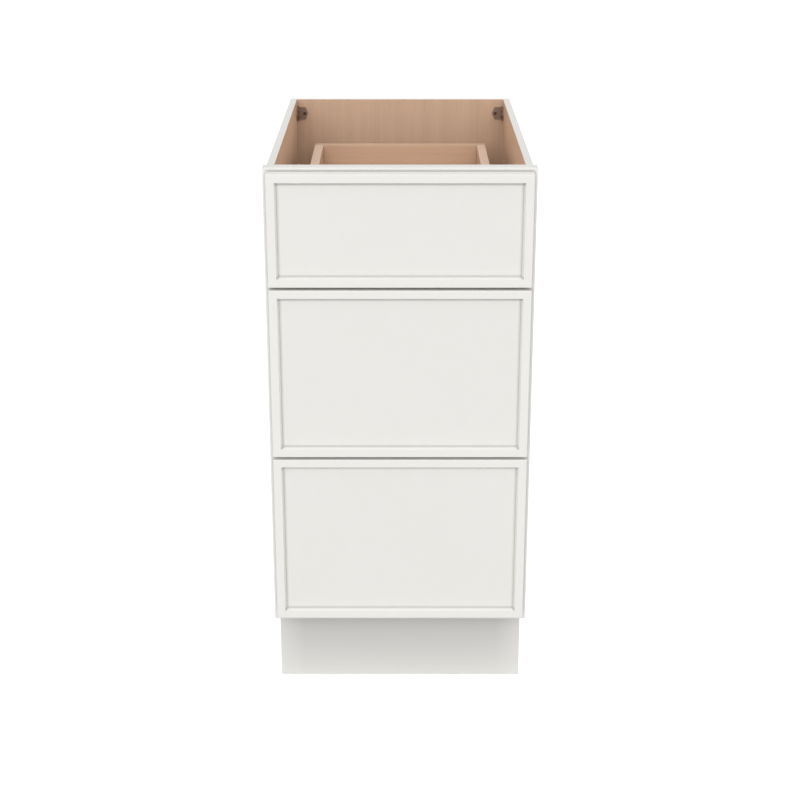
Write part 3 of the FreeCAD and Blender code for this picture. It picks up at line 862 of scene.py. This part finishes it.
def addScrew(bm, place):
    part = bmesh.new()
    addHead(part, place["headRadius"], place["headHeight"])
    sinkCross(part, place["headRadius"], place["headHeight"])
    addShank(part, place["radius"], place["length"])
    turn = place["out"].to_track_quat("Z", "Y").to_matrix().to_4x4()
    bmesh.ops.transform(part, matrix=Matrix.Translation(place["seat"]) @ turn, verts=part.verts)
    scrap = bpy.data.meshes.new("screwScrap")
    part.to_mesh(scrap)
    part.free()
    bm.from_mesh(scrap)
    bpy.data.meshes.remove(scrap)


def makeScrews(nodeName, body, material):
    bm = bmesh.new()
    for place in screwPlaces(nodeName):
        addScrew(bm, place)
    return finishPiece(f"{nodeName}_cross", bm, material, body, [nodeName])


makeScrews("corner_brace_screws", "carcass", screwBronze)
makeScrews("slide_screws", "carcass", screwZinc)
for drawer in drawers:
    makeScrews(f"{drawer}_front_screws", f"{drawer}_drawer", screwZinc)
print("screws made")


# Stage, light and camera

stageLook = {
    "floorReach": 14.0,
    "floorColour": (0.55, 0.55, 0.547),
    "floorDrift": 0.985,
    "floorNoise": 6.0,
    "floorRough": 0.85,
    "floorGlow": 0.80,   # lifts the floor to white for the camera, without lighting the cabinet
    "skyEven": 0.60,     # light from every side
    "skyAbove": 0.25,    # added towards the zenith
    "skyShown": 1.0,
}

keyLook = {
    "turn": -5.0,        # degrees from straight ahead, negative to the left
    "elevation": 22.0,
    "spread": 44.0,      # how wide the light looks from the cabinet, in degrees
    "strength": 1.29,
}

cameraLook = {
    "distance": 2.380,
    "height": 1.296,
    "pitchDown": 19.36,
    "lens": 70.63,
    "sensor": 36.0,
    "shift": -0.06,
}


def makeFloor():
    bm = bmesh.new()
    bmesh.ops.create_grid(bm, x_segments=4, y_segments=4, size=stageLook["floorReach"])
    mesh = bpy.data.meshes.new("studioFloor")
    bm.to_mesh(mesh)
    bm.free()
    floor = bpy.data.objects.new("studioFloor", mesh)
    bpy.context.scene.collection.objects.link(floor)
    material, tree, shader, coordinates = newMaterial("paleFloor")
    speck = noise(tree, coordinates["Object"], stageLook["floorNoise"], roughness=0.5)
    pale = stageLook["floorColour"]
    colour = mixColour(tree, speck, rgba(pale), toned(pale, stageLook["floorDrift"]))
    tree.links.new(colour, shader.inputs["Base Color"])
    shader.inputs["Roughness"].default_value = stageLook["floorRough"]
    shader.inputs["Emission Color"].default_value = (1, 1, 1, 1)
    seen = addNode(tree, "LightPath").outputs["Is Camera Ray"]
    glow = maths(tree, "MULTIPLY", seen, stageLook["floorGlow"])
    tree.links.new(glow, shader.inputs["Emission Strength"])
    mesh.materials.append(material)


def makeSky():
    world = bpy.data.worlds.new("studioSky")
    world.use_nodes = True
    tree = world.node_tree
    tree.nodes.clear()
    way = addNode(tree, "SeparateXYZ", {"Vector": addNode(tree, "TexCoord").outputs["Generated"]}).outputs
    above = maths(tree, "MULTIPLY", maths(tree, "MAXIMUM", way["Z"], 0.0), stageLook["skyAbove"])
    strength = maths(tree, "ADD", above, stageLook["skyEven"])
    soft = addNode(tree, "Background", {"Color": (1, 1, 1, 1), "Strength": strength})
    shown = addNode(tree, "Background", {"Color": (1, 1, 1, 1), "Strength": stageLook["skyShown"]})
    seen = addNode(tree, "LightPath").outputs["Is Camera Ray"]
    picked = addNode(tree, "MixShader", {0: seen, 1: soft.outputs[0], 2: shown.outputs[0]})
    end = addNode(tree, "OutputWorld")
    tree.links.new(picked.outputs[0], end.inputs["Surface"])
    bpy.context.scene.world = world


def makeKey():
    data = bpy.data.lights.new("frontKey", "SUN")
    data.angle = math.radians(keyLook["spread"])
    data.energy = keyLook["strength"]
    light = bpy.data.objects.new("frontKey", data)
    bpy.context.scene.collection.objects.link(light)
    light.rotation_euler = (math.radians(90 - keyLook["elevation"]), 0, math.radians(keyLook["turn"]))


def makeCamera():
    data = bpy.data.cameras.new("photoView")
    data.sensor_width = cameraLook["sensor"]
    data.lens = cameraLook["lens"]
    data.shift_y = cameraLook["shift"]
    camera = bpy.data.objects.new("photoView", data)
    bpy.context.scene.collection.objects.link(camera)
    camera.location = (0, -cameraLook["distance"], cameraLook["height"])
    camera.rotation_euler = (math.radians(90 - cameraLook["pitchDown"]), 0, 0)
    bpy.context.scene.camera = camera


makeFloor()
makeSky()
makeKey()
makeCamera()
bpy.context.scene.view_settings.view_transform = "Standard"
print("stage, lights and camera set")
